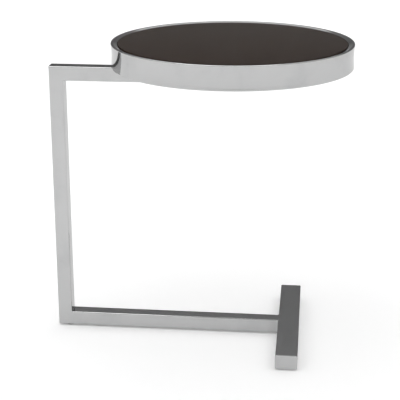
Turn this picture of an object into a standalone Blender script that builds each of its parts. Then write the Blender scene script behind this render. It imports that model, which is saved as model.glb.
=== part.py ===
"""A C-shaped side table: a square-tube frame on a T foot carries a round, glass-topped top."""

import math

import bmesh
import bpy
from mathutils import Matrix, Vector

# Room left between two pieces that seat on each other, in metres like every size below.
SEAT_GAP = 0.0003

# Frame of welded square tube.
TUBE_SIDE = 0.025
TUBE_WALL = 0.0015
TUBE_INNER_CORNER = 0.0005
FRAME_HEIGHT = 0.482          # underside of the lower arm to the top of the upper arm
ARM_PAST_CENTRE = 0.055       # end of the upper arm past the middle of the top

# Foot bar, a flatter tube across the lower arm's end, flush with it above and below.
FOOT_WIDTH = 0.038
FOOT_LENGTH = 0.310           # over both end caps
FOOT_REACH = 0.422            # outer face of the post to the middle of the foot bar
FOOT_CAP_THICKNESS = 0.002

# Moulded plug in the open end of the upper arm.
PLUG_HEAD_THICKNESS = 0.0025
PLUG_SPIGOT_LENGTH = 0.012

# Push-in floor glides.
GLIDE_HEIGHT = 0.003
GLIDE_RADIUS = 0.009
GLIDE_CHAMFER = 0.0008
GLIDE_STEM_RADIUS = 0.004
GLIDE_STEM_LENGTH = 0.009
GLIDE_INSET = 0.020           # middle of a glide from the outer end of what it stands under

# Band of rolled tube round the top, whose outer wall dishes in as the tube is rolled.
BAND_RADIUS = 0.205
BAND_HEIGHT = 0.040
BAND_DEPTH = 0.011            # width of the rim seen from above
BAND_WALL = 0.0015
BAND_DISH = 0.0012
BAND_EDGE = 0.0012            # radius of the rolled edges
BAND_VENT_RADIUS = 0.002      # drain hole for plating, underneath
TOP_REACH = 0.315             # outer face of the post to the middle of the top

# Glass disc, the bumpers that it lies on, and the board under them.
GLASS_THICKNESS = 0.008
GLASS_RECESS = 0.0008         # glass below the rim
GLASS_ARRIS = 0.0008
RIM_CLEARANCE = 0.0008        # glass and board to the inside of the band
BUMPER_RADIUS = 0.006
BUMPER_THICKNESS = 0.0026
BUMPER_EDGE_DISTANCE = 0.040  # middle of a bumper from the inside of the band

# Steel plate welded to the upper arm and screwed to the board.
PLATE_LENGTH = 0.110
PLATE_WING = 0.030            # plate past each side of the arm
PLATE_THICKNESS = 0.006
PLATE_CORNER = 0.008
PLATE_HOLE_EDGE = 0.015       # screw hole from the end and the side of the plate
WASHER_RADIUS = 0.0058
WASHER_THICKNESS = 0.001
PLATE_SCREW_HEAD_RADIUS = 0.005
PLATE_SCREW_HEAD_HEIGHT = 0.0032
PLATE_SCREW_SHANK_RADIUS = 0.0025
PLATE_SCREW_LENGTH = 0.024    # under the head

# Tabs welded inside the band, which the board sits on and is screwed to.
TAB_LENGTH = 0.022
TAB_WIDTH = 0.024
TAB_THICKNESS = 0.003
TAB_LIFT = 0.004              # tab above the bottom edge of the band
TAB_POCKET_CLEARANCE = 0.0005
TAB_SCREW_HEAD_RADIUS = 0.004
TAB_SCREW_HEAD_HEIGHT = 0.0026
TAB_SCREW_SHANK_RADIUS = 0.002
TAB_SCREW_LENGTH = 0.016
TOP_FIXINGS = 4               # tabs, and bumpers, round the top
FIRST_FIXING_ANGLE = math.radians(45)

# Shape of every screw, as shares of its own sizes: length of the point in shank radii,
# radius of its tip, depth of the head's upright side, and radius of the head's flat crown.
SCREW_POINT_SHARE = 1.5
SCREW_TIP_SHARE = 0.3
HEAD_SIDE_SHARE = 0.5
HEAD_CROWN_SHARE = 0.7

# Facets of turned pieces and of rounded edges.
BAND_STEPS = 72
DISH_STEPS = 4
ROUND_STEPS = 20
CORNER_STEPS = 3
BAND_EDGE_STEPS = 2
CUT_MARGIN = 0.002            # how far a cutter runs past the face it cuts
MERGE_DISTANCE = 0.00001
SMOOTH_ANGLE = math.radians(35)

# Places worked out from the sizes above, from the post's outer face, the middle and the floor.
BAND_INNER_RADIUS = BAND_RADIUS - BAND_DEPTH
ARM_LENGTH = TOP_REACH + ARM_PAST_CENTRE - PLUG_HEAD_THICKNESS - SEAT_GAP
LOWER_ARM_LENGTH = FOOT_REACH - FOOT_WIDTH / 2 - SEAT_GAP
FOOT_TUBE_LENGTH = FOOT_LENGTH - 2 * (FOOT_CAP_THICKNESS + SEAT_GAP)
GLIDE_HOLE_RADIUS = GLIDE_STEM_RADIUS + SEAT_GAP
POST_FACE_X = -(TOP_REACH + BAND_RADIUS) / 2
PLATE_TOP = -SEAT_GAP                                      # from the bottom edge of the band
PLATE_BOTTOM = PLATE_TOP - PLATE_THICKNESS
BAND_BOTTOM_Z = GLIDE_HEIGHT + FRAME_HEIGHT + SEAT_GAP - PLATE_BOTTOM
GLASS_TOP = BAND_HEIGHT - GLASS_RECESS
GLASS_BOTTOM = GLASS_TOP - GLASS_THICKNESS
BUMPER_BOTTOM = GLASS_BOTTOM - SEAT_GAP - BUMPER_THICKNESS
BOARD_THICKNESS = BUMPER_BOTTOM - SEAT_GAP
DISC_RADIUS = BAND_INNER_RADIUS - RIM_CLEARANCE
PLATE_WIDTH = TUBE_SIDE + 2 * PLATE_WING
PLATE_HOLE_X = PLATE_LENGTH / 2 - PLATE_HOLE_EDGE
PLATE_HOLE_Y = PLATE_WIDTH / 2 - PLATE_HOLE_EDGE
PLATE_HOLE_RADIUS = PLATE_SCREW_SHANK_RADIUS + SEAT_GAP
WASHER_BOTTOM = PLATE_BOTTOM - SEAT_GAP - WASHER_THICKNESS
PLATE_SCREW_SEAT = WASHER_BOTTOM - SEAT_GAP                # underside of the head's bearing face
TAB_OUTER = math.sqrt((BAND_INNER_RADIUS - SEAT_GAP) ** 2 - (TAB_WIDTH / 2) ** 2)
TAB_MIDDLE = TAB_OUTER - TAB_LENGTH / 2
TAB_HOLE_RADIUS = TAB_SCREW_SHANK_RADIUS + SEAT_GAP
TAB_POCKET_DEPTH = TAB_LIFT + TAB_THICKNESS + SEAT_GAP
TAB_SCREW_SEAT = TAB_LIFT - SEAT_GAP


def clear_scene():
    for old in list(bpy.data.objects):
        bpy.data.objects.remove(old, do_unlink=True)


def make_material(name, colour, roughness, metallic):
    material = bpy.data.materials.new(name)
    material.use_nodes = True
    shader = material.node_tree.nodes["Principled BSDF"]
    shader.inputs["Base Color"].default_value = (*colour, 1.0)
    shader.inputs["Roughness"].default_value = roughness
    shader.inputs["Metallic"].default_value = metallic
    material.diffuse_color = (*colour, 1.0)
    return material


def make_guide(name, location):
    guide = bpy.data.objects.new(name, None)
    guide.location = location
    bpy.context.collection.objects.link(guide)
    return guide


def make_object(name, bm, parent, location=(0, 0, 0), rotation=(0, 0, 0)):
    bmesh.ops.recalc_face_normals(bm, faces=bm.faces)
    mesh = bpy.data.meshes.new(name)
    bm.to_mesh(mesh)
    bm.free()
    mesh.shade_smooth()
    mesh.set_sharp_from_angle(angle=SMOOTH_ANGLE)
    piece = bpy.data.objects.new(name, mesh)
    piece.parent = parent
    piece.location = location
    piece.rotation_euler = rotation
    bpy.context.collection.objects.link(piece)
    return piece


def make_piece(name, bm, material, parent, location=(0, 0, 0), rotation=(0, 0, 0)):
    piece = make_object(name, bm, parent, location, rotation)
    piece.data.materials.append(material)
    return piece


def cut(piece, bm, location=(0, 0, 0), rotation=(0, 0, 0)):
    # A cutter sits in its piece's own coordinates, so it follows where the piece is placed.
    cutter = make_object("cutter_" + piece.name, bm, piece, location, rotation)
    cutter.hide_render = True
    cutter.display_type = "WIRE"
    hole = piece.modifiers.new("Cut", "BOOLEAN")
    hole.operation = "DIFFERENCE"
    hole.solver = "EXACT"
    hole.object = cutter


def rounded_face(bm, width, depth, corner):
    # A rectangle in the XY plane, its corners rounded.
    half_width, half_depth = width / 2, depth / 2
    corners = [(-half_width, -half_depth), (half_width, -half_depth),
               (half_width, half_depth), (-half_width, half_depth)]
    face = bm.faces.new([bm.verts.new((x, y, 0)) for x, y in corners])
    bmesh.ops.bevel(bm, geom=face.verts[:], offset=corner, offset_type="OFFSET", affect="VERTICES",
                    segments=CORNER_STEPS, profile=0.5, material=-1)
    return bm.faces[:][0]


def extrude_up(bm, faces, height):
    grown = bmesh.ops.extrude_face_region(bm, geom=faces)["geom"]
    verts = [item for item in grown if isinstance(item, bmesh.types.BMVert)]
    bmesh.ops.translate(bm, verts=verts, vec=(0, 0, height))
    return [item for item in grown if isinstance(item, bmesh.types.BMFace)], verts


def slab(width, depth, height, corner):
    bm = bmesh.new()
    extrude_up(bm, [rounded_face(bm, width, depth, corner)], height)
    return bm


def tube(width, depth, length, start_mitre=0, end_mitre=0):
    # A tube along local Z. A mitre of 1 or -1 slopes an end at 45 degrees across local X.
    bm = bmesh.new()
    face = rounded_face(bm, width, depth, TUBE_WALL + TUBE_INNER_CORNER)
    bmesh.ops.inset_region(bm, faces=[face], thickness=TUBE_WALL, use_even_offset=True, use_boundary=True)
    bmesh.ops.delete(bm, geom=[face], context="FACES_ONLY")
    start = bm.verts[:]
    end = extrude_up(bm, bm.faces[:], length)[1]
    weld_gap = SEAT_GAP / 2 * math.sqrt(2)
    for vert in start:
        vert.co.z += abs(start_mitre) * (width / 2 + weld_gap) + start_mitre * vert.co.x
    for vert in end:
        vert.co.z -= abs(end_mitre) * (width / 2 + weld_gap) - end_mitre * vert.co.x
    return bm


def turned(profile, steps, closed=False):
    # Points (radius, height), spun round local Z. A closed profile is a loop clear of the axis.
    bm = bmesh.new()
    verts = [bm.verts.new((radius, 0, height)) for radius, height in profile]
    pairs = list(zip(verts, verts[1:]))
    if closed:
        pairs.append((verts[-1], verts[0]))
    edges = [bm.edges.new(pair) for pair in pairs]
    bmesh.ops.spin(bm, geom=verts + edges, cent=(0, 0, 0), axis=(0, 0, 1), angle=math.tau,
                   steps=steps, use_merge=True)
    bmesh.ops.remove_doubles(bm, verts=bm.verts, dist=MERGE_DISTANCE)
    return bm


def pin(radius, bottom, top, places=((0, 0),)):
    # Upright cylinders, one at each place.
    bm = bmesh.new()
    for x, y in places:
        middle = Matrix.Translation((x, y, (bottom + top) / 2))
        bmesh.ops.create_cone(bm, cap_ends=True, segments=ROUND_STEPS, radius1=radius, radius2=radius,
                              depth=top - bottom, matrix=middle)
    return bm


def box(low, high, turn=Matrix(), bm=None):
    bm = bm or bmesh.new()
    low, high = Vector(low), Vector(high)
    size = Matrix.Diagonal((*(high - low), 1.0))
    bmesh.ops.create_cube(bm, size=1.0, matrix=turn @ Matrix.Translation((low + high) / 2) @ size)
    return bm


def screw_profile(head_radius, head_height, shank_radius, length):
    # Pan head below its bearing face at height 0, shank above, with a short point.
    point = shank_radius * SCREW_POINT_SHARE
    return [(0, length), (shank_radius * SCREW_TIP_SHARE, length), (shank_radius, length - point),
            (shank_radius, 0), (head_radius, 0), (head_radius, -head_height * HEAD_SIDE_SHARE),
            (head_radius * HEAD_CROWN_SHARE, -head_height), (0, -head_height)]


def band_profile(inner, outer, bottom, top, dish):
    # Flat inner face, dished outer face, as a loop from the top inner corner.
    points = [(inner, bottom), (inner, top)]
    for step in range(DISH_STEPS + 1):
        share = step / DISH_STEPS
        sink = dish * (1 - (2 * share - 1) ** 2)
        points.append((outer - sink, top + (bottom - top) * share))
    return points


def fixing_angles():
    return [FIRST_FIXING_ANGLE + math.tau * index / TOP_FIXINGS for index in range(TOP_FIXINGS)]


def ring_places(radius):
    return [(radius * math.cos(angle), radius * math.sin(angle)) for angle in fixing_angles()]


def plate_hole_places():
    return [(x, y) for x in (-PLATE_HOLE_X, PLATE_HOLE_X) for y in (-PLATE_HOLE_Y, PLATE_HOLE_Y)]


def build_frame(corner, chrome, plug_black):
    along_x = (0, math.radians(90), 0)
    half = TUBE_SIDE / 2
    make_piece("post", tube(TUBE_SIDE, TUBE_SIDE, FRAME_HEIGHT, 1, -1), chrome, corner, (half, 0, 0))
    make_piece("upper_arm", tube(TUBE_SIDE, TUBE_SIDE, ARM_LENGTH, 1, 0), chrome, corner,
               (0, 0, FRAME_HEIGHT - half), along_x)
    lower_arm = make_piece("lower_arm", tube(TUBE_SIDE, TUBE_SIDE, LOWER_ARM_LENGTH, -1, 0), chrome,
                           corner, (0, 0, half), along_x)
    cut(lower_arm, glide_hole(), (half, 0, GLIDE_INSET), (0, math.radians(-90), 0))

    plug = slab(TUBE_SIDE, TUBE_SIDE, PLUG_HEAD_THICKNESS, TUBE_WALL + TUBE_INNER_CORNER)
    back = min(plug.faces, key=lambda face: face.calc_center_median().z)
    bmesh.ops.inset_region(plug, faces=[back], thickness=TUBE_WALL + SEAT_GAP, use_even_offset=True)
    extrude_up(plug, [back], -PLUG_SPIGOT_LENGTH)
    bmesh.ops.delete(plug, geom=[back], context="FACES_ONLY")
    make_piece("arm_end_plug", plug, plug_black, corner,
               (ARM_LENGTH + SEAT_GAP, 0, FRAME_HEIGHT - half), along_x)


def glide_hole():
    # Through the bottom wall only, centred on the tube's underside.
    return pin(GLIDE_HOLE_RADIUS, -CUT_MARGIN, TUBE_WALL + CUT_MARGIN)


def build_foot(corner, chrome):
    half = TUBE_SIDE / 2
    along_y = (math.radians(-90), 0, 0)
    foot_bar = make_piece("foot_bar", tube(FOOT_WIDTH, TUBE_SIDE, FOOT_TUBE_LENGTH), chrome, corner,
                          (FOOT_REACH, -FOOT_TUBE_LENGTH / 2, half), along_y)
    for end in (-1, 1):
        middle = FOOT_TUBE_LENGTH / 2 + end * (FOOT_LENGTH / 2 - GLIDE_INSET)
        cut(foot_bar, glide_hole(), (0, half, middle), (math.radians(90), 0, 0))
    for name, start in (("foot_cap_front", -FOOT_LENGTH / 2),
                        ("foot_cap_rear", FOOT_LENGTH / 2 - FOOT_CAP_THICKNESS)):
        cap = slab(FOOT_WIDTH, TUBE_SIDE, FOOT_CAP_THICKNESS, TUBE_WALL + TUBE_INNER_CORNER)
        make_piece(name, cap, chrome, corner, (FOOT_REACH, start, half), along_y)


def build_glides(corner, nylon):
    foot_y = FOOT_LENGTH / 2 - GLIDE_INSET
    places = {"floor_glide_post": (GLIDE_INSET, 0),
              "floor_glide_front": (FOOT_REACH, -foot_y),
              "floor_glide_rear": (FOOT_REACH, foot_y)}
    head_top = -SEAT_GAP
    profile = [(0, GLIDE_STEM_LENGTH), (GLIDE_STEM_RADIUS - GLIDE_CHAMFER, GLIDE_STEM_LENGTH),
               (GLIDE_STEM_RADIUS, GLIDE_STEM_LENGTH - GLIDE_CHAMFER), (GLIDE_STEM_RADIUS, head_top),
               (GLIDE_RADIUS, head_top), (GLIDE_RADIUS, GLIDE_CHAMFER - GLIDE_HEIGHT),
               (GLIDE_RADIUS - GLIDE_CHAMFER, -GLIDE_HEIGHT), (0, -GLIDE_HEIGHT)]
    for name, (x, y) in places.items():
        make_piece(name, turned(profile, ROUND_STEPS), nylon, corner, (x, y, 0))


def build_band(centre, chrome):
    outline = band_profile(BAND_INNER_RADIUS, BAND_RADIUS, 0, BAND_HEIGHT, BAND_DISH)
    band = make_piece("ring_band", turned(outline, BAND_STEPS, closed=True), chrome, centre)
    edge = band.modifiers.new("Rolled edges", "BEVEL")
    edge.width = BAND_EDGE
    edge.segments = BAND_EDGE_STEPS
    edge.limit_method = "ANGLE"
    edge.angle_limit = math.radians(60)
    hollow = band_profile(BAND_INNER_RADIUS + BAND_WALL, BAND_RADIUS - BAND_WALL, BAND_WALL,
                          BAND_HEIGHT - BAND_WALL, BAND_DISH)
    cut(band, turned(hollow, BAND_STEPS, closed=True))
    vent_place = (0, (BAND_INNER_RADIUS + BAND_RADIUS) / 2, 0)
    cut(band, pin(BAND_VENT_RADIUS, -CUT_MARGIN, BAND_WALL + CUT_MARGIN), vent_place)


def build_tabs(centre, chrome, steel):
    screw = screw_profile(TAB_SCREW_HEAD_RADIUS, TAB_SCREW_HEAD_HEIGHT, TAB_SCREW_SHANK_RADIUS,
                          TAB_SCREW_LENGTH)
    for number, angle in enumerate(fixing_angles(), start=1):
        x, y = TAB_MIDDLE * math.cos(angle), TAB_MIDDLE * math.sin(angle)
        blank = box((-TAB_LENGTH / 2, -TAB_WIDTH / 2, 0), (TAB_LENGTH / 2, TAB_WIDTH / 2, TAB_THICKNESS))
        tab = make_piece(f"ring_tab_{number}", blank, chrome, centre, (x, y, TAB_LIFT), (0, 0, angle))
        cut(tab, pin(TAB_HOLE_RADIUS, -CUT_MARGIN, TAB_THICKNESS + CUT_MARGIN))
        make_piece(f"tab_screw_{number}", turned(screw, ROUND_STEPS), steel, centre, (x, y, TAB_SCREW_SEAT))


def build_board(centre, board_black):
    board = make_piece("core_board", turned([(0, BOARD_THICKNESS), (DISC_RADIUS, BOARD_THICKNESS),
                                             (DISC_RADIUS, 0), (0, 0)], BAND_STEPS), board_black, centre)
    pockets = bmesh.new()
    half_width = TAB_WIDTH / 2 + TAB_POCKET_CLEARANCE
    start = TAB_OUTER - TAB_LENGTH - TAB_POCKET_CLEARANCE
    for angle in fixing_angles():
        box((start, -half_width, -CUT_MARGIN), (BAND_RADIUS, half_width, TAB_POCKET_DEPTH),
            Matrix.Rotation(angle, 4, "Z"), pockets)
    cut(board, pockets)
    cut(board, pin(TAB_HOLE_RADIUS, TAB_LIFT, TAB_SCREW_SEAT + TAB_SCREW_LENGTH + SEAT_GAP,
                   ring_places(TAB_MIDDLE)))
    cut(board, pin(PLATE_HOLE_RADIUS, -CUT_MARGIN, PLATE_SCREW_SEAT + PLATE_SCREW_LENGTH + SEAT_GAP,
                   plate_hole_places()))


def build_glass(centre, glass, silicone):
    edge = DISC_RADIUS - GLASS_ARRIS
    outline = [(0, GLASS_TOP), (edge, GLASS_TOP), (DISC_RADIUS, GLASS_TOP - GLASS_ARRIS),
               (DISC_RADIUS, GLASS_BOTTOM + GLASS_ARRIS), (edge, GLASS_BOTTOM), (0, GLASS_BOTTOM)]
    make_piece("glass_top", turned(outline, BAND_STEPS), glass, centre)
    for number, (x, y) in enumerate(ring_places(BAND_INNER_RADIUS - BUMPER_EDGE_DISTANCE), start=1):
        bumper = pin(BUMPER_RADIUS, 0, BUMPER_THICKNESS)
        make_piece(f"glass_bumper_{number}", bumper, silicone, centre, (x, y, BUMPER_BOTTOM))


def build_plate(centre, chrome, steel):
    plate = make_piece("mounting_plate", slab(PLATE_LENGTH, PLATE_WIDTH, PLATE_THICKNESS, PLATE_CORNER),
                       chrome, centre, (0, 0, PLATE_BOTTOM))
    cut(plate, pin(PLATE_HOLE_RADIUS, -CUT_MARGIN, PLATE_THICKNESS + CUT_MARGIN, plate_hole_places()))
    screw = screw_profile(PLATE_SCREW_HEAD_RADIUS, PLATE_SCREW_HEAD_HEIGHT, PLATE_SCREW_SHANK_RADIUS,
                          PLATE_SCREW_LENGTH)
    washer = [(PLATE_HOLE_RADIUS, 0), (PLATE_HOLE_RADIUS, WASHER_THICKNESS),
              (WASHER_RADIUS, WASHER_THICKNESS), (WASHER_RADIUS, 0)]
    for number, (x, y) in enumerate(plate_hole_places(), start=1):
        make_piece(f"plate_washer_{number}", turned(washer, ROUND_STEPS, closed=True), steel, centre,
                   (x, y, WASHER_BOTTOM))
        make_piece(f"plate_screw_{number}", turned(screw, ROUND_STEPS), steel, centre,
                   (x, y, PLATE_SCREW_SEAT))


def build():
    clear_scene()
    chrome = make_material("polished_chrome", (0.62, 0.62, 0.62), 0.06, 1.0)
    glass = make_material("dark_glass", (0.012, 0.006, 0.004), 0.05, 0.0)
    board_black = make_material("black_board", (0.02, 0.019, 0.018), 0.7, 0.0)
    steel = make_material("zinc_steel", (0.45, 0.45, 0.44), 0.35, 1.0)
    plug_black = make_material("black_plug", (0.015, 0.015, 0.015), 0.5, 0.0)
    nylon = make_material("grey_nylon", (0.08, 0.08, 0.08), 0.55, 0.0)
    silicone = make_material("clear_silicone", (0.6, 0.6, 0.58), 0.4, 0.0)

    corner = make_guide("post_corner", (POST_FACE_X, 0, GLIDE_HEIGHT))
    centre = make_guide("top_centre", (POST_FACE_X + TOP_REACH, 0, BAND_BOTTOM_Z))
    build_frame(corner, chrome, plug_black)
    build_foot(corner, chrome)
    build_glides(corner, nylon)
    build_plate(centre, chrome, steel)
    build_band(centre, chrome)
    build_tabs(centre, chrome, steel)
    build_board(centre, board_black)
    build_glass(centre, glass, silicone)
    bpy.context.view_layer.update()


build()
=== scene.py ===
import math

import bmesh
import bpy
from mathutils import Matrix, Vector


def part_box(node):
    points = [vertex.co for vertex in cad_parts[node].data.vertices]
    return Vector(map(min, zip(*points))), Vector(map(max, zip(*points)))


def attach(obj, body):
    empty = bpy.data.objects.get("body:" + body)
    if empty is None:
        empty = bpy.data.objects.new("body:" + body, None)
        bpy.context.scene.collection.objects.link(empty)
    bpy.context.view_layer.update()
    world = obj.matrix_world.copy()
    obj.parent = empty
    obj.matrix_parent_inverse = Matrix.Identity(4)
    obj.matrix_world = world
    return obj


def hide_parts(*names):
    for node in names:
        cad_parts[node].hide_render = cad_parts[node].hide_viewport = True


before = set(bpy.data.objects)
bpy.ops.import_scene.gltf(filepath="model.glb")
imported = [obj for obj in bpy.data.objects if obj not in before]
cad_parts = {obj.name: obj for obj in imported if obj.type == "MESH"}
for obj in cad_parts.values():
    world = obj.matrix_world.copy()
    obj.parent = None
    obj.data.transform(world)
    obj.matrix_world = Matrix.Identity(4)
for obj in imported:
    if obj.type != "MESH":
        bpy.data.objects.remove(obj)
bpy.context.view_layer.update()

bpy.context.scene.view_settings.view_transform = "Standard"
print("frame loaded:", len(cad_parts), "nodes")


# the camera comes first, so that every look is judged in the same picture
cameraSet = {
    "place": (0.192, -1.880, 0.878),  # metres, a little right of the middle and above the top
    "aim": (0.0, 0.0, 0.248),  # about half way up the table
    "lens": 101.5,  # millimetres
}


def aimed(item, place):
    item.location = place
    way = Vector(cameraSet["aim"]) - item.location
    item.rotation_euler = way.to_track_quat("-Z", "Y").to_euler()
    bpy.context.scene.collection.objects.link(item)


def makeCamera():
    data = bpy.data.cameras.new("camera")
    data.lens = cameraSet["lens"]
    camera = bpy.data.objects.new("camera", data)
    aimed(camera, cameraSet["place"])
    bpy.context.scene.camera = camera


makeCamera()
print("camera set")


# shader maths: a wire is an output socket that takes part in sums
class Wire:
    def __init__(self, nodes, socket):
        self.nodes = nodes
        self.socket = socket

    def worked(self, operation, first, second):
        return self.nodes.add("Math", {"operation": operation}, {0: first, 1: second})

    def __add__(self, other):
        return self.worked("ADD", self, other)

    def __radd__(self, other):
        return self.worked("ADD", other, self)

    def __sub__(self, other):
        return self.worked("SUBTRACT", self, other)

    def __rsub__(self, other):
        return self.worked("SUBTRACT", other, self)

    def __mul__(self, other):
        return self.worked("MULTIPLY", self, other)

    def __rmul__(self, other):
        return self.worked("MULTIPLY", other, self)

    def __pow__(self, other):
        return self.worked("POWER", self, other)

    def larger(self, other):
        return self.worked("MAXIMUM", self, other)

    def sibling(self, name):  # another output of the same node
        return Wire(self.nodes, self.socket.node.outputs[name])


class Nodes:
    def __init__(self, owner):
        owner.use_nodes = True
        self.owner = owner
        self.tree = owner.node_tree
        self.tree.nodes.clear()

    def add(self, kind, settings=(), sockets=(), out=0):
        made = self.tree.nodes.new("ShaderNode" + kind)
        for key, value in dict(settings).items():
            if key == "stops":  # (place, grey) pairs of a ramp
                while len(made.color_ramp.elements) < len(value):
                    made.color_ramp.elements.new(1.0)
                for stop, (spot, grey) in zip(made.color_ramp.elements, value):
                    stop.position = spot
                    stop.color = (grey, grey, grey, 1.0)
            else:
                setattr(made, key, value)
        for key, value in dict(sockets).items():
            if isinstance(value, Wire):
                self.tree.links.new(value.socket, made.inputs[key])
            else:
                made.inputs[key].default_value = value
        return Wire(self, made.outputs[out]) if made.outputs else None


def newFinish(name):
    return Nodes(bpy.data.materials.new(name))


def objectPlace(nodes, stretch=(1, 1, 1), shift=(0, 0, 0)):
    place = nodes.add("TexCoord", out="Object")
    return nodes.add("Mapping", {}, {"Vector": place, "Scale": stretch, "Location": shift})


def cloud(nodes, place, noise):  # a noise is its scale per metre, its detail and its roughness
    scale, detail, rough = noise
    sockets = {"Vector": place, "Scale": scale, "Detail": detail, "Roughness": rough}
    return nodes.add("TexNoise", {}, sockets)


def between(nodes, wire, limits):  # 0 below the first limit, 1 above the second
    sockets = {"Value": wire, "From Min": limits[0], "From Max": limits[1]}
    return nodes.add("MapRange", {"interpolation_type": "SMOOTHSTEP"}, sockets)


def patches(nodes, place, noise, limits):
    return between(nodes, cloud(nodes, place, noise), limits)


def tint(nodes, share, first, second):  # a mix node has its colours on sockets 6 and 7 and output 2
    colours = [item if isinstance(item, Wire) else (*item, 1) for item in (first, second)]
    sockets = {0: share, 6: colours[0], 7: colours[1]}
    return nodes.add("Mix", {"data_type": "RGBA"}, sockets, out=2)


def bumped(nodes, height, strength, depth):
    return nodes.add("Bump", {}, {"Height": height, "Strength": strength, "Distance": depth})


def painted(nodes, **sockets):  # finishes the tree with one principled shader
    named = {key.replace("_", " "): value for key, value in sockets.items()}
    nodes.add("OutputMaterial", {}, {"Surface": nodes.add("BsdfPrincipled", {}, named)})
    return nodes.owner


# polished chrome plate, with buffing lines along each tube, cloth haze and a few finger marks
chrome = {
    "clean": (0.530, 0.532, 0.533), "dull": (0.470, 0.474, 0.479),
    "edgeTint": (0.85, 0.85, 0.85),  # at a glancing angle
    "lines": (2400, 2, 0.6), "lineStretch": 0.012,  # about 0.4 mm apart, eighty times as long
    "lineStrength": 0.3, "lineDepth": 0.00001,
    "haze": (16, 5, 0.6), "hazeLimits": (0.46, 0.72),
    "marks": (55, 3, 0.55), "markLimits": (0.60, 0.74),
    "hazeSmear": 0.35, "hazeDull": 0.6,  # the haze's shares, the rest is finger marks
    "polish": 0.04, "lineRough": 0.05, "smearRough": 0.07,
}


def chromeFrom(name, linePlace):
    nodes = newFinish(name)
    place = objectPlace(nodes)
    lines = cloud(nodes, linePlace(nodes), chrome["lines"])
    haze = patches(nodes, place, chrome["haze"], chrome["hazeLimits"])
    marks = patches(nodes, place, chrome["marks"], chrome["markLimits"]) * haze
    smear = chrome["hazeSmear"] * haze + (1 - chrome["hazeSmear"]) * marks
    dull = chrome["hazeDull"] * haze + (1 - chrome["hazeDull"]) * marks
    rough = chrome["polish"] + chrome["lineRough"] * lines ** 2 + chrome["smearRough"] * smear
    return painted(nodes, Metallic=1.0, Base_Color=tint(nodes, dull, chrome["clean"], chrome["dull"]),
                   Roughness=rough, Specular_Tint=(*chrome["edgeTint"], 1),
                   Normal=bumped(nodes, lines, chrome["lineStrength"], chrome["lineDepth"]))


def chromeAlong(axis):
    stretch = [chrome["lineStretch"] if letter == axis else 1 for letter in "xyz"]
    return chromeFrom("polishedChrome_" + axis, lambda nodes: objectPlace(nodes, stretch))


def chromeRound(centre):  # lines run round the band, on its walls and on its rim
    def place(nodes):
        x = nodes.add("SeparateXYZ", {}, {"Vector": objectPlace(nodes, shift=-centre)})
        y, z = x.sibling("Y"), x.sibling("Z")
        slow = chrome["lineStretch"]
        return nodes.add("CombineXYZ", {}, {0: x * slow, 1: y * slow, 2: z + (x * x + y * y) ** 0.5})
    return chromeFrom("polishedChrome_round", place)


# glass painted dark brown on its back, with wiped haze and a little dust
glass = {
    "paint": (0.0243, 0.0147, 0.0102), "paintThin": (0.0293, 0.0179, 0.0124),
    "thin": (11, 5, 0.65), "thinLimits": (0.35, 0.68),
    "haze": (21, 5, 0.65), "hazeLimits": (0.45, 0.70), "hazeStretch": (0.35, 1, 1),
    "dust": (0.16, 0.15, 0.14), "grainScale": 900, "grainLimits": (0.08, 0.16),
    "settled": (60, 3, 0.5), "settledLimits": (0.50, 0.66), "dustShare": 0.3,
    "polish": 0.03, "hazeRough": 0.06, "dustRough": 0.35, "specular": 0.04,
}


def darkGlass():
    nodes = newFinish("darkGlass")
    place = objectPlace(nodes)
    thin = patches(nodes, place, glass["thin"], glass["thinLimits"])
    wiped = objectPlace(nodes, glass["hazeStretch"])
    haze = patches(nodes, wiped, glass["haze"], glass["hazeLimits"])
    grains = nodes.add("TexVoronoi", {}, {"Vector": place, "Scale": glass["grainScale"]})
    settled = patches(nodes, place, glass["settled"], glass["settledLimits"])
    dust = (1 - between(nodes, grains, glass["grainLimits"])) * settled * glass["dustShare"]
    back = tint(nodes, thin, glass["paint"], glass["paintThin"])
    rough = glass["polish"] + glass["hazeRough"] * haze + glass["dustRough"] * dust
    return painted(nodes, Base_Color=tint(nodes, dust, back, glass["dust"]), Roughness=rough,
                   Specular_IOR_Level=glass["specular"])


# black melamine faced board
board = {
    "face": (0.0165, 0.0160, 0.0155), "rubbed": (0.0210, 0.0205, 0.0200),
    "pebble": (1300, 2, 0.5), "pebbleStrength": 0.5, "pebbleDepth": 0.00006,
    "rub": (70, 5, 0.7), "rubLimits": (0.45, 0.72),
    "rough": 0.52, "pebbleRough": 0.10, "rubSmooth": 0.05,
}


def blackBoard():
    nodes = newFinish("blackBoard")
    place = objectPlace(nodes)
    pebble = cloud(nodes, place, board["pebble"])
    rub = patches(nodes, place, board["rub"], board["rubLimits"])
    rough = board["rough"] + board["pebbleRough"] * pebble - board["rubSmooth"] * rub
    return painted(nodes, Base_Color=tint(nodes, rub, board["face"], board["rubbed"]), Roughness=rough,
                   Normal=bumped(nodes, pebble, board["pebbleStrength"], board["pebbleDepth"]))


# zinc plated steel of the screws and washers
zinc = {
    "grey": (0.42, 0.43, 0.45), "bright": (0.60, 0.60, 0.585),
    "spangle": (420, 4, 0.6), "spangleStrength": 0.4, "spangleDepth": 0.00003,
    "worn": (130, 3, 0.5), "wornLimits": (0.40, 0.65),
    "wornBright": 0.6,  # the worn share of the brightness, the rest is spangle
    "rough": 0.42, "wornSmooth": 0.16, "spangleRough": 0.08,
}


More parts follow.
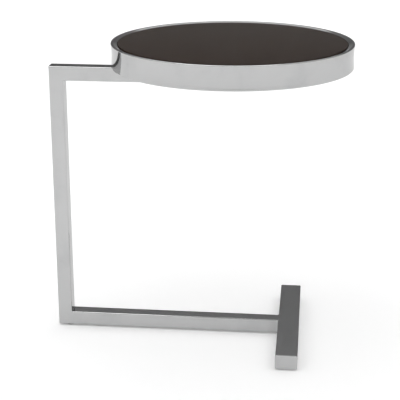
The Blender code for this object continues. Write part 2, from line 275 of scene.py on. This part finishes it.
def zincSteel():
    nodes = newFinish("zincSteel")
    place = objectPlace(nodes)
    spangle = cloud(nodes, place, zinc["spangle"])
    worn = patches(nodes, place, zinc["worn"], zinc["wornLimits"])
    shine = zinc["wornBright"] * worn + (1 - zinc["wornBright"]) * spangle
    rough = zinc["rough"] - zinc["wornSmooth"] * worn + zinc["spangleRough"] * spangle
    return painted(nodes, Metallic=1.0, Base_Color=tint(nodes, shine, zinc["grey"], zinc["bright"]),
                   Roughness=rough,
                   Normal=bumped(nodes, spangle, zinc["spangleStrength"], zinc["spangleDepth"]))


# moulded plastics: what both have, then the skin of each
moulding = {
    "grainStrength": 0.5, "grainDepth": 0.00005,
    "dragStretch": (1, 0.4, 1), "scuffLimits": (0.50, 0.72),
    "rough": 0.44, "grainRough": 0.10, "scuffRough": 0.14,
}
plugSkin = {
    "colour": (0.014, 0.014, 0.0145), "scuffed": (0.030, 0.030, 0.030),
    "grain": (1900, 2, 0.55), "scuff": (90, 4, 0.65),
}
glideSkin = {
    "colour": (0.460, 0.460, 0.450), "scuffed": (0.540, 0.540, 0.530),
    "grain": (1500, 2, 0.55), "scuff": (160, 4, 0.65),
}


def moulded(name, skin):
    nodes = newFinish(name)
    grain = cloud(nodes, objectPlace(nodes), skin["grain"])
    drag = objectPlace(nodes, moulding["dragStretch"])
    scuff = patches(nodes, drag, skin["scuff"], moulding["scuffLimits"])
    rough = moulding["rough"] + moulding["grainRough"] * grain + moulding["scuffRough"] * scuff
    return painted(nodes, Base_Color=tint(nodes, scuff, skin["colour"], skin["scuffed"]), Roughness=rough,
                   Normal=bumped(nodes, grain, moulding["grainStrength"], moulding["grainDepth"]))


# clear bumpers under the glass
silicone = {
    "clear": (0.90, 0.91, 0.90), "bloomed": (0.78, 0.79, 0.78), "bloom": (340, 4, 0.6),
    "rough": 0.22, "bloomRough": 0.16, "through": 0.85, "ior": 1.41,
}


def clearSilicone():
    nodes = newFinish("clearSilicone")
    bloom = cloud(nodes, objectPlace(nodes), silicone["bloom"])
    return painted(nodes, Base_Color=tint(nodes, bloom, silicone["clear"], silicone["bloomed"]),
                   Roughness=silicone["rough"] + silicone["bloomRough"] * bloom,
                   Transmission_Weight=silicone["through"], IOR=silicone["ior"])


def middleOf(node):
    low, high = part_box(node)
    return (low + high) / 2


def axisOf(node):  # where a round node's upright axis meets the floor
    return middleOf(node) * Vector((1, 1, 0))


topAxis = axisOf("ring_band")
chromeX = chromeAlong("x")
chromeY = chromeAlong("y")
chromeZ = chromeAlong("z")
chromeBand = chromeRound(topAxis)
glassFinish = darkGlass()
boardFinish = blackBoard()
zincFinish = zincSteel()
plugFinish = moulded("blackPlug", plugSkin)
glideFinish = moulded("greyNylon", glideSkin)
siliconeFinish = clearSilicone()
print("finishes made")


# mesh helpers
alongX, alongY, alongZ = range(3)
tiny = 0.00001  # metres; nearer than this is the same place
hair = 0.000002  # metres; nearer than this, two corners are one
crease = 40  # degrees; a sharper turn shows as an edge
holeSteps = 32


def facesOf(geom):
    return [item for item in geom if isinstance(item, bmesh.types.BMFace)]


def vertsOf(geom):
    return [item for item in geom if isinstance(item, bmesh.types.BMVert)]


def lies(item, axis, at=None):  # an edge or face that is square to an axis, at one place along it
    spots = [vert.co[axis] for vert in item.verts]
    return max(spots) - min(spots) < tiny and (at is None or abs(spots[0] - at) < tiny)


def squareEdges(bm, axis, at=None):
    return [edge for edge in bm.edges if lies(edge, axis, at)]


def drawn(points):  # one flat face through a few corners
    bm = bmesh.new()
    bm.faces.new([bm.verts.new(point) for point in points])
    return bm


def boxEnd(low, high, axis):  # the end of a box that is square to an axis, at its low side
    first, second = [other for other in (alongX, alongY, alongZ) if other != axis]
    points = []
    for a, b in ((low, low), (high, low), (high, high), (low, high)):
        point = low.copy()
        point[first] = a[first]
        point[second] = b[second]
        points.append(point)
    return drawn(points)


def pulled(bm, faces, vec, keep=False):
    grown = bmesh.ops.extrude_face_region(bm, geom=faces)["geom"]
    bmesh.ops.translate(bm, verts=vertsOf(grown), vec=vec)
    if not keep:  # the face it grew from would lie inside the solid
        bmesh.ops.delete(bm, geom=faces, context="FACES_ONLY")
    return facesOf(grown)


def stepped(bm, faces, vec, share, keep=False):  # pulls a face on and scales it about its middle
    grown = pulled(bm, faces, vec, keep)
    away = Matrix.Translation(-grown[0].calc_center_median())
    bmesh.ops.scale(bm, vec=(share, share, share), space=away, verts=grown[0].verts[:])
    return grown


def extruded(bm, axis, length):  # a lone face into a solid
    vec = Vector((0, 0, 0))
    vec[axis] = length
    pulled(bm, bm.faces[:], vec, keep=True)
    return bm


def eased(bm, edges, offset, steps):
    bmesh.ops.bevel(bm, geom=edges, offset=offset, offset_type="OFFSET", affect="EDGES",
                    segments=steps, profile=0.5, material=-1, clamp_overlap=True)


def easedCorners(bm, verts, offset, steps):
    bmesh.ops.bevel(bm, geom=verts, offset=offset, offset_type="OFFSET", affect="VERTICES",
                    segments=steps, profile=0.5, material=-1)


def outlined(points):  # an open outline for turning, from pole to pole
    bm = bmesh.new()
    verts = [bm.verts.new((reach, 0, height)) for reach, height in points]
    for pair in zip(verts, verts[1:]):
        bm.edges.new(pair)
    return bm


def quarterRound(steps):  # sine and cosine at each step of a rounded corner
    turns = [math.pi / 2 * step / steps for step in range(1, steps + 1)]
    return [(math.sin(turn), math.cos(turn)) for turn in turns]


def turned(bm, steps):  # the outline's edges, spun round the upright axis
    bmesh.ops.delete(bm, geom=bm.faces[:], context="FACES_ONLY")
    bmesh.ops.spin(bm, geom=bm.verts[:] + bm.edges[:], cent=(0, 0, 0), axis=(0, 0, 1), angle=math.tau,
                   steps=steps, use_merge=True)
    bmesh.ops.remove_doubles(bm, verts=bm.verts, dist=hair)
    return bm


def moved(bm, matrix):
    bmesh.ops.transform(bm, matrix=matrix, verts=bm.verts)
    return bm


def rod(reach, bottom, top, places=((0, 0),)):
    bm = bmesh.new()
    for x, y in places:
        bmesh.ops.create_cone(bm, cap_ends=True, segments=holeSteps, radius1=reach, radius2=reach,
                              depth=top - bottom,
                              matrix=Matrix.Translation((x, y, (bottom + top) / 2)))
    return bm


def drilled(bm, tool):  # takes one closed shape out of another
    blanks = []
    for shape in (bm, tool):
        bmesh.ops.recalc_face_normals(shape, faces=shape.faces)
        mesh = bpy.data.meshes.new("blank")
        shape.to_mesh(mesh)
        shape.free()
        blanks.append(bpy.data.objects.new("blank", mesh))
        bpy.context.scene.collection.objects.link(blanks[-1])
    hole = blanks[0].modifiers.new("hole", "BOOLEAN")
    hole.operation = "DIFFERENCE"
    hole.solver = "EXACT"
    hole.object = blanks[1]
    bpy.context.view_layer.update()
    cut = bmesh.new()
    cut.from_object(blanks[0], bpy.context.evaluated_depsgraph_get())
    for blank in blanks:
        bpy.data.objects.remove(blank)
    return cut


def finished(name, bm, finishes, slotName, *solids, sharp=crease):
    bmesh.ops.recalc_face_normals(bm, faces=bm.faces)
    mesh = bpy.data.meshes.new(name)
    bm.to_mesh(mesh)
    bm.free()
    mesh.shade_smooth()
    mesh.set_sharp_from_angle(angle=math.radians(sharp))
    for finish in finishes:
        mesh.materials.append(finish)
    piece = bpy.data.objects.new(name, mesh)
    bpy.context.scene.collection.objects.link(piece)
    flats = piece.modifiers.new("flats", "WEIGHTED_NORMAL")  # flat faces mirror flat
    flats.keep_sharp = True
    flats.weight = 100
    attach(piece, "root")
    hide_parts(*solids)


# weld beads, rippled, with tapered ends
weld = {"segments": 14, "swell": 1.10, "taper": 0.5}


def weldBead(start, end, reach, ripples):
    bm = bmesh.new()
    turn = (end - start).to_track_quat("Z", "Y").to_matrix().to_4x4()
    bmesh.ops.create_circle(bm, cap_ends=True, radius=reach * weld["taper"], segments=weld["segments"],
                            matrix=Matrix.Translation(start) @ turn)
    shares = [1 / weld["taper"]] + [weld["swell"], 1 / weld["swell"]] * ripples + [weld["taper"]]
    tip = bm.faces[:]
    for number, share in enumerate(shares):
        tip = stepped(bm, tip, (end - start) / len(shares), share, keep=number == 0)
    return bm


# the tubes: arm, post and arm are mitred, welded and dressed flush, so they have one skin of chrome
tube = {
    "edge": 0.0016, "edgeSteps": 6,  # drawn edges
    "mitre": 0.0006, "mitreSteps": 3,  # dressed corners
    "wall": 0.0015, "bore": 0.030,  # open end under the top
    "glideHole": 0.0043, "glideDepth": 0.011,
}


def glideHoles(low, *glides):
    places = [middleOf(node).xy for node in glides]
    return rod(tube["glideHole"], low.z - tube["wall"], low.z + tube["glideDepth"], places)


def makeFrame():
    low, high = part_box("post")
    side = high.y - low.y
    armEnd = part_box("upper_arm")[1].x
    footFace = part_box("foot_bar")[0].x + tube["edge"]  # weld filled up to the bar's flat top
    outline = [(low.x, low.z), (footFace, low.z), (footFace, low.z + side), (high.x, low.z + side),
               (high.x, high.z - side), (armEnd, high.z - side), (armEnd, high.z), (low.x, high.z)]
    bm = extruded(drawn([(x, low.y, z) for x, z in outline]), alongY, side)
    ends = squareEdges(bm, alongX, armEnd) + squareEdges(bm, alongX, footFace)
    drawnEdges = [edge for edge in squareEdges(bm, alongY) if edge not in ends]
    eased(bm, drawnEdges, tube["edge"], tube["edgeSteps"])
    mitres = [(Vector((low.x, 0, high.z)), Vector((1, 0, 1))),
              (Vector((low.x, 0, low.z)), Vector((1, 0, -1)))]
    joints = []
    for spot, way in mitres:
        for edge in bm.edges:
            if all(abs((vert.co - spot).dot(way)) < tiny for vert in edge.verts):
                joints.append(edge)
    eased(bm, joints, tube["mitre"], tube["mitreSteps"])
    for vert in bm.verts:  # dressed flush with the post
        vert.co.x = max(vert.co.x, low.x)
    for spot, way in mitres:
        bmesh.ops.bisect_plane(bm, geom=bm.verts[:] + bm.edges[:] + bm.faces[:], dist=hair,
                               plane_co=spot, plane_no=way)
    for face in bm.faces:  # buffed lengthwise, so the post's lines stand upright
        middle = face.calc_center_median()
        face.material_index = int(all((middle - spot).dot(way) < 0 for spot, way in mitres))
    end = [face for face in bm.faces if lies(face, alongX, armEnd)]
    bmesh.ops.inset_region(bm, faces=end, thickness=tube["wall"], use_even_offset=True)
    pulled(bm, end, (-tube["bore"], 0, 0))
    finished("welded_frame", drilled(bm, glideHoles(low, "floor_glide_post")), [chromeX, chromeZ],
             "polished_chrome", "post", "upper_arm", "lower_arm")


# the foot bar, its caps, and the welds in the corners of arm and bar
foot = {
    "seam": 0.0002, "seamSteps": 2, "capCorner": 0.0016, "capEdge": 0.0007, "capEdgeSteps": 4,
    "fillet": 0.0030, "filletSteps": 8, "filletSink": 0.0004, "filletEnd": 0.0006,
}


def makeFootBar():
    low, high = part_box("foot_bar")
    low.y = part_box("foot_cap_front")[1].y
    high.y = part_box("foot_cap_rear")[0].y
    bm = extruded(boxEnd(low, high, alongY), alongY, high.y - low.y)
    eased(bm, [edge for edge in bm.edges if not lies(edge, alongY)], tube["edge"], tube["edgeSteps"])
    eased(bm, squareEdges(bm, alongY), foot["seam"], foot["seamSteps"])
    bm = drilled(bm, glideHoles(low, "floor_glide_front", "floor_glide_rear"))
    finished("foot_bar_tube", bm, [chromeY], "polished_chrome", "foot_bar")


def makeFootCap(node, outer):  # outer picks the low or the high end of its box
    low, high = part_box(node)
    bm = boxEnd(low, high, alongY)
    easedCorners(bm, bm.verts[:], foot["capCorner"], tube["edgeSteps"])
    extruded(bm, alongY, high.y - low.y)
    eased(bm, squareEdges(bm, alongY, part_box(node)[outer].y), foot["capEdge"], foot["capEdgeSteps"])
    finished(node + "_plate", bm, [chromeX], "polished_chrome", node)


def makeFillet(name, way):  # a hollow fillet, on the front or the rear of the arm
    armLow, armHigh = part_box("lower_arm")
    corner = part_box("foot_bar")[0].x
    side = way * armHigh.y
    leg, sink = foot["fillet"], foot["filletSink"]
    bottom, top = armLow.z + foot["filletEnd"], armHigh.z - foot["filletEnd"]
    bm = bmesh.new()
    start = bm.verts.new((corner - leg, side, bottom))
    bmesh.ops.spin(bm, geom=[start], cent=(corner - leg, side + way * leg, bottom), axis=(0, 0, 1),
                   angle=way * math.pi / 2, steps=foot["filletSteps"])
    arc = sorted(bm.verts, key=lambda vert: vert.co.x)
    root = [(corner + sink, side + way * leg), (corner + sink, side - way * sink),
            (corner - leg, side - way * sink)]
    bm.faces.new(arc + [bm.verts.new((x, y, bottom)) for x, y in root])
    finished(name, extruded(bm, alongZ, top - bottom), [chromeZ], "polished_chrome")


makeFrame()
makeFootBar()
makeFootCap("foot_cap_front", 0)
makeFootCap("foot_cap_rear", 1)
makeFillet("foot_weld_front", -1)
makeFillet("foot_weld_rear", 1)
print("frame and foot made")


# the band round the top, rolled from tube, its outer wall dished and its rim sloping in to the glass
band = {
    "depth": 0.011, "dish": 0.0012, "dishCuts": 15, "edge": 0.0016, "edgeSteps": 6,
    "lip": 0.0068, "lipDrop": 0.0021, "lipEdge": 0.0006, "lipSteps": 4,
    "vent": 0.002, "ventDepth": 0.004, "steps": 256, "crease": 35,
}


def makeBand():
    low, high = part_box("ring_band")
    outer = high.x - topAxis.x
    inner = outer - band["depth"]
    bm = drawn([(inner, 0, low.z), (outer, 0, low.z), (outer, 0, high.z),
                (inner + band["lip"], 0, high.z), (inner, 0, high.z - band["lipDrop"])])
    bmesh.ops.subdivide_edges(bm, edges=squareEdges(bm, alongX, outer), cuts=band["dishCuts"])
    for vert in bm.verts:
        if vert.co.x > outer - tiny:
            height = 2 * (vert.co.z - low.z) / (high.z - low.z) - 1
            vert.co.x -= band["dish"] * (1 - height * height)
    middle = (low.z + high.z) / 2
    lip = [vert for vert in bm.verts if vert.co.x < outer - band["edge"] and vert.co.z > middle]
    easedCorners(bm, lip, band["lipEdge"], band["lipSteps"])
    corners = [vert for vert in bm.verts if vert.co.z < low.z + tiny or vert.co.z > high.z - tiny]
    corners = [vert for vert in corners if vert.co.z < middle or vert.co.x > outer - band["edge"]]
    easedCorners(bm, corners, band["edge"], band["edgeSteps"])
    spare = outer - max(vert.co.x for vert in bm.verts)  # taken off the dished wall by the rounding
    wall = [vert for vert in bm.verts if vert.co.x > outer - band["edge"] - band["dish"]]
    bmesh.ops.translate(bm, vec=(spare, 0, 0), verts=wall)
    moved(turned(bm, band["steps"]), Matrix.Translation(topAxis))
    ventPlace = (topAxis.x, topAxis.y + (inner + outer) / 2)
    vent = rod(band["vent"], low.z - band["vent"], low.z + band["ventDepth"], [ventPlace])
    finished("rim_band", drilled(bm, vent), [chromeBand], "polished_chrome", "ring_band",
             sharp=band["crease"])


# the glass disc, its arris ground and polished
disc = {"arris": 0.0008, "arrisSteps": 3, "steps": 256, "crease": 30}


def makeGlass():
    low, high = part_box("glass_top")
    bm = bmesh.new()
    bmesh.ops.create_circle(bm, cap_ends=True, radius=(high.x - low.x) / 2, segments=disc["steps"],
                            matrix=Matrix.Translation((topAxis.x, topAxis.y, low.z)))
    extruded(bm, alongZ, high.z - low.z)
    eased(bm, squareEdges(bm, alongZ), disc["arris"], disc["arrisSteps"])
    finished("glass_disc", bm, [glassFinish], "dark_glass", "glass_top", sharp=disc["crease"])


makeBand()
makeGlass()
print("band and glass made")


# what carries the top, seen from below
fixings = range(1, 5)  # four of each, numbered as in the frame


def slab(low, high, form, rounded):
    bm = boxEnd(low, high, alongZ)
    easedCorners(bm, [vert for vert in bm.verts if rounded(vert)], form["corner"], form["cornerSteps"])
    extruded(bm, alongZ, high.z - low.z)
    eased(bm, squareEdges(bm, alongZ), form["edge"], form["edgeSteps"])
    return bm


plate = {"corner": 0.008, "cornerSteps": 10, "edge": 0.0007, "edgeSteps": 3, "hole": 0.0028}
plateWeld = {"reach": 0.0021, "ripples": 34, "out": 0.0002, "down": 0.0005, "end": 0.003}


def makePlate():
    low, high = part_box("mounting_plate")
    bm = slab(low, high, plate, lambda vert: True)
    places = [middleOf(f"plate_screw_{number}").xy for number in fixings]
    bm = drilled(bm, rod(plate["hole"], low.z - plate["hole"], high.z + plate["hole"], places))
    finished("top_plate", bm, [chromeX], "polished_chrome", "mounting_plate")
    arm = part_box("upper_arm")[1]
    for name, way in (("plate_weld_front", -1), ("plate_weld_rear", 1)):
        side, height = way * (arm.y + plateWeld["out"]), low.z - plateWeld["down"]
        start = Vector((low.x + plateWeld["end"], side, height))
        end = Vector((arm.x - plateWeld["end"], side, height))
        bead = weldBead(start, end, plateWeld["reach"], plateWeld["ripples"])
        finished(name, bead, [chromeX], "polished_chrome")


tab = {
    "length": 0.022, "width": 0.024, "corner": 0.005, "cornerSteps": 8,
    "edge": 0.0005, "edgeSteps": 2, "hole": 0.0023,
}
tabWeld = {"reach": 0.0012, "ripples": 7, "half": 0.0085}


def makeTab(number):
    low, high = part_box(f"ring_tab_{number}")
    middle = (low + high) / 2
    out = middle - topAxis
    place = Matrix.Translation(middle) @ Matrix.Rotation(math.atan2(out.y, out.x), 4, "Z")
    half = Vector((tab["length"], tab["width"], high.z - low.z)) / 2
    bm = slab(-half, half, tab, lambda vert: vert.co.x < 0)
    bm = drilled(bm, rod(tab["hole"], -tab["length"], tab["length"]))
    finished(f"ring_tab_{number}_strap", moved(bm, place), [chromeX], "polished_chrome",
             f"ring_tab_{number}")
    start = Vector((half.x, -tabWeld["half"], -half.z))
    end = Vector((half.x, tabWeld["half"], -half.z))
    bead = weldBead(start, end, tabWeld["reach"], tabWeld["ripples"])
    finished(f"tab_weld_{number}", moved(bead, place), [chromeX], "polished_chrome")


washer = {"hole": 0.0028, "edge": 0.0002, "edgeSteps": 3, "steps": 40}


def makeWasher(number):
    node = f"plate_washer_{number}"
    low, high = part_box(node)
    reach, hole = (high.x - low.x) / 2, washer["hole"]
    bm = drawn([(hole, 0, low.z), (reach, 0, low.z), (reach, 0, high.z), (hole, 0, high.z)])
    easedCorners(bm, bm.verts[:], washer["edge"], washer["edgeSteps"])
    moved(turned(bm, washer["steps"]), Matrix.Translation(axisOf(node)))
    finished(node + "_flat", bm, [zincFinish], "zinc_steel", node)


screw = {
    "crown": 0.45, "side": 0.42, "roundSteps": 6,  # flat of the head, and its upright side, as shares
    "burr": 0.0002, "bladeFloor": 0.62,  # the cross narrows to this share at its floor
    "pitch": 0.7, "core": 0.82, "point": 1.6, "tip": 0.25,  # in radii of the shank
    "flank": 0.35,  # each side of a thread ring, in pitches
    "steps": 32, "crease": 35,
}
plateScrew = {
    "head": 0.0050, "height": 0.0032, "shank": 0.0025, "length": 0.024,
    "blade": 0.0011, "bladeReach": 0.0028, "bladeDeep": 0.0019, "turn": 37,
}
tabScrew = {
    "head": 0.0040, "height": 0.0026, "shank": 0.0020, "length": 0.016,
    "blade": 0.0009, "bladeReach": 0.0023, "bladeDeep": 0.0016, "turn": 53,
}


def screwBlank(size):  # pan head below 0 with a cross recess, shank with thread rings above
    head, height, shank = size["head"], size["height"], size["shank"]
    crown, side = head * screw["crown"], height * screw["side"]
    points = [(0, -height), (crown, -height)]
    for sine, cosine in quarterRound(screw["roundSteps"]):
        points.append((crown + (head - crown) * sine, -side - (height - side) * cosine))
    points += [(head, -screw["burr"]), (head - screw["burr"], 0), (shank, 0)]
    pitch, core = shank * screw["pitch"], shank * screw["core"]
    flank = pitch * screw["flank"]
    for ring in range(1, int((size["length"] - shank * screw["point"]) / pitch)):
        crest = pitch * (ring + 0.5)
        points += [(core, crest - flank), (shank, crest), (core, crest + flank)]
    points += [(shank * screw["tip"], size["length"]), (0, size["length"])]
    bm = turned(outlined(points), screw["steps"])
    for turn in (0, math.pi / 2):  # one blade of the cross at a time
        blade = bmesh.new()
        bmesh.ops.create_cube(blade, size=1.0)
        for vert in blade.verts:
            share = screw["bladeFloor"] if vert.co.z > 0 else 1
            vert.co *= Vector((2 * size["bladeReach"] * share, size["blade"], 2 * size["bladeDeep"]))
            vert.co.z -= height
        bm = drilled(bm, moved(blade, Matrix.Rotation(turn, 4, "Z")))
    return bm


def makeScrews(stem, size):
    blank = screwBlank(size)
    for number in fixings:
        node = f"{stem}_{number}"
        seat = middleOf(node)
        seat.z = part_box(node)[0].z + size["height"]
        turn = Matrix.Rotation(math.radians(size["turn"] * number), 4, "Z")  # no two alike
        finished(node + "_pan", moved(blank.copy(), Matrix.Translation(seat) @ turn), [zincFinish],
                 "zinc_steel", node, sharp=screw["crease"])
    blank.free()


makePlate()
for number in fixings:
    makeTab(number)
    makeWasher(number)
makeScrews("plate_screw", plateScrew)
makeScrews("tab_screw", tabScrew)
print("plate, tabs and screws made")


# the plug in the arm's open end
plug = {
    "corner": 0.0020, "cornerSteps": 6, "edge": 0.0007, "edgeSteps": 4, "wall": 0.0018,
    "fin": 0.93, "fins": 3, "dimple": 0.62, "dimpleDeep": 0.0005, "dimpleDraft": 0.95,
}


def makePlug():
    low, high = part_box("arm_end_plug")
    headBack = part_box("upper_arm")[1].x
    bm = boxEnd(Vector((headBack, low.y, low.z)), high, alongX)
    easedCorners(bm, bm.verts[:], plug["corner"], plug["cornerSteps"])
    extruded(bm, alongX, high.x - headBack)
    eased(bm, squareEdges(bm, alongX, high.x), plug["edge"], plug["edgeSteps"])
    front = [face for face in bm.faces if lies(face, alongX, high.x)]
    front = stepped(bm, front, (0, 0, 0), plug["dimple"])
    stepped(bm, front, (-plug["dimpleDeep"], 0, 0), plug["dimpleDraft"])
    back = [face for face in bm.faces if lies(face, alongX, headBack)]
    bmesh.ops.inset_region(bm, faces=back, thickness=plug["wall"], use_even_offset=True)
    for share in (plug["fin"], 1 / plug["fin"]) * plug["fins"]:  # gripping fins of the spigot
        back = stepped(bm, back, ((low.x - headBack) / plug["fins"] / 2, 0, 0), share)
    finished("arm_end_plug_moulded", bm, [plugFinish], "black_plug", "arm_end_plug")


# the push-in glides under the frame
glide = {
    "stem": 0.0040, "roll": 0.0023, "rollHeight": 0.0018, "rollSteps": 6, "seat": 0.0001,
    "rim": 0.0005, "burr": 0.0002, "barbs": 3, "barb": 0.86, "tip": 0.7, "steps": 48, "crease": 35,
}


def makeGlide(node):
    low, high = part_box(node)
    reach = (high.x - low.x) / 2
    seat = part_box("post")[0].z - glide["seat"]
    points = [(0, low.z), (reach - glide["roll"], low.z)]
    for sine, cosine in quarterRound(glide["rollSteps"]):  # rolled edge of the foot
        points.append((reach - glide["roll"] * (1 - sine), low.z + glide["rollHeight"] * (1 - cosine)))
    points += [(reach, seat - glide["rim"]), (reach - glide["burr"], seat), (glide["stem"], seat)]
    rise = (high.z - seat) / (glide["barbs"] + 1)
    for barb in range(glide["barbs"]):  # they grip the hole
        points.append((glide["stem"], seat + rise * (barb + 0.5)))
        points.append((glide["stem"] * glide["barb"], seat + rise * (barb + 1)))
    points += [(glide["stem"] * glide["tip"], high.z), (0, high.z)]
    bm = moved(turned(outlined(points), glide["steps"]), Matrix.Translation(axisOf(node)))
    finished(node + "_turned", bm, [glideFinish], "grey_nylon", node, sharp=glide["crease"])


makePlug()
for node in ("floor_glide_post", "floor_glide_front", "floor_glide_rear"):
    makeGlide(node)
# the board and the bumpers keep their solids
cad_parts["core_board"].material_slots[0].material = boardFinish
for number in fixings:
    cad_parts[f"glass_bumper_{number}"].material_slots[0].material = siliconeFinish
print("plug, glides, board and bumpers made")


# stage: a pale round floor, a grey belt round it that the chrome mirrors, soft light
stage = {"reach": 20.0, "segments": 96}


def staged(name, bm, finish):
    mesh = bpy.data.meshes.new(name)
    bm.to_mesh(mesh)
    bm.free()
    mesh.materials.append(finish)
    item = bpy.data.objects.new(name, mesh)
    bpy.context.scene.collection.objects.link(item)
    return item


def mirrorRays(camera):  # rays that show the background, from the chrome and clear parts
    return camera.sibling("Is Glossy Ray").larger(camera.sibling("Is Transmission Ray"))


floor = {
    "dark": (0.89, 0.89, 0.89), "light": (0.91, 0.91, 0.91), "mottle": (3, 3, 0.5), "rough": 0.9,
    "lift": 0.14, "liftFar": 0.36, "liftSeen": 0.08,  # evens the floor out to white
}


def makeFloor():
    nodes = newFinish("paleFloor")
    place = objectPlace(nodes)
    out = nodes.add("VectorMath", {"operation": "LENGTH"}, {0: place}, out="Value") * (1 / stage["reach"])
    lift = floor["lift"] + (floor["liftFar"] - floor["lift"]) * out ** 2  # the belt shades the far floor
    camera = nodes.add("LightPath", out="Is Camera Ray")
    glow = camera * (lift + floor["liftSeen"]) + mirrorRays(camera) * lift
    mottle = tint(nodes, cloud(nodes, place, floor["mottle"]), floor["dark"], floor["light"])
    top = nodes.add("BsdfPrincipled", {}, {
        "Base Color": mottle, "Roughness": floor["rough"], "Specular IOR Level": 0.0,
        "Emission Color": glow, "Emission Strength": 1.0})
    under = nodes.add("NewGeometry", out="Backfacing")  # clear from below, so that the underside shows
    clear = nodes.add("BsdfTransparent")
    nodes.add("OutputMaterial", {}, {"Surface": nodes.add("MixShader", {}, {0: under, 1: top, 2: clear})})
    bm = bmesh.new()
    bmesh.ops.create_circle(bm, cap_ends=True, radius=stage["reach"], segments=stage["segments"])
    staged("floor", bm, nodes.owner)


belt = {
    "height": 24.0, "rough": 0.95,
    "greys": [(0.0, 0.90), (0.022, 0.86), (0.058, 0.34), (0.13, 0.30), (0.195, 0.20), (0.24, 0.23),
              (0.43, 0.32), (0.49, 0.90)],  # each at its share of the height
}


def makeBelt():
    nodes = newFinish("greyBelt")
    height = nodes.add("SeparateXYZ", {}, {"Vector": objectPlace(nodes)}, out="Z") * (1 / belt["height"])
    grade = nodes.add("ValToRGB", {"stops": belt["greys"]}, {0: height})
    finish = painted(nodes, Base_Color=grade, Roughness=belt["rough"], Specular_IOR_Level=0.0)
    bm = bmesh.new()
    bmesh.ops.create_circle(bm, radius=stage["reach"], segments=stage["segments"])
    grown = bmesh.ops.extrude_edge_only(bm, edges=bm.edges[:])["geom"]
    bmesh.ops.translate(bm, verts=vertsOf(grown), vec=(0, 0, belt["height"]))
    staged("belt", bm, finish).visible_camera = False


dome = {"strength": 1.48}


def makeDome():
    world = bpy.data.worlds.new("softDome")
    bpy.context.scene.world = world
    nodes = Nodes(world)
    camera = nodes.add("LightPath", out="Is Camera Ray")
    shown = camera + mirrorRays(camera)
    strength = dome["strength"] + (1 - dome["strength"]) * shown  # white where it shows
    glow = nodes.add("Background", {}, {"Color": (1, 1, 1, 1), "Strength": strength})
    nodes.add("OutputWorld", {}, {"Surface": glow})


# a broad lamp for the shadow, and a long one that shows only in mirrors, as pale lines along edges
softbox = {"power": 8.0, "sides": (2.4, 2.4), "place": (-1.5, -0.6, 2.7), "mirrorOnly": False}
strip = {"power": 24.0, "sides": (3.2, 0.6), "place": (0.0, -0.9, 2.7), "mirrorOnly": True}


def makeLamp(name, lamp):
    data = bpy.data.lights.new(name, "AREA")
    data.shape = "RECTANGLE"
    data.energy = lamp["power"]
    data.size, data.size_y = lamp["sides"]
    item = bpy.data.objects.new(name, data)
    item.visible_diffuse = not lamp["mirrorOnly"]
    aimed(item, lamp["place"])


makeFloor()
makeBelt()
makeDome()
makeLamp("softbox", softbox)
makeLamp("strip", strip)
print("stage set")
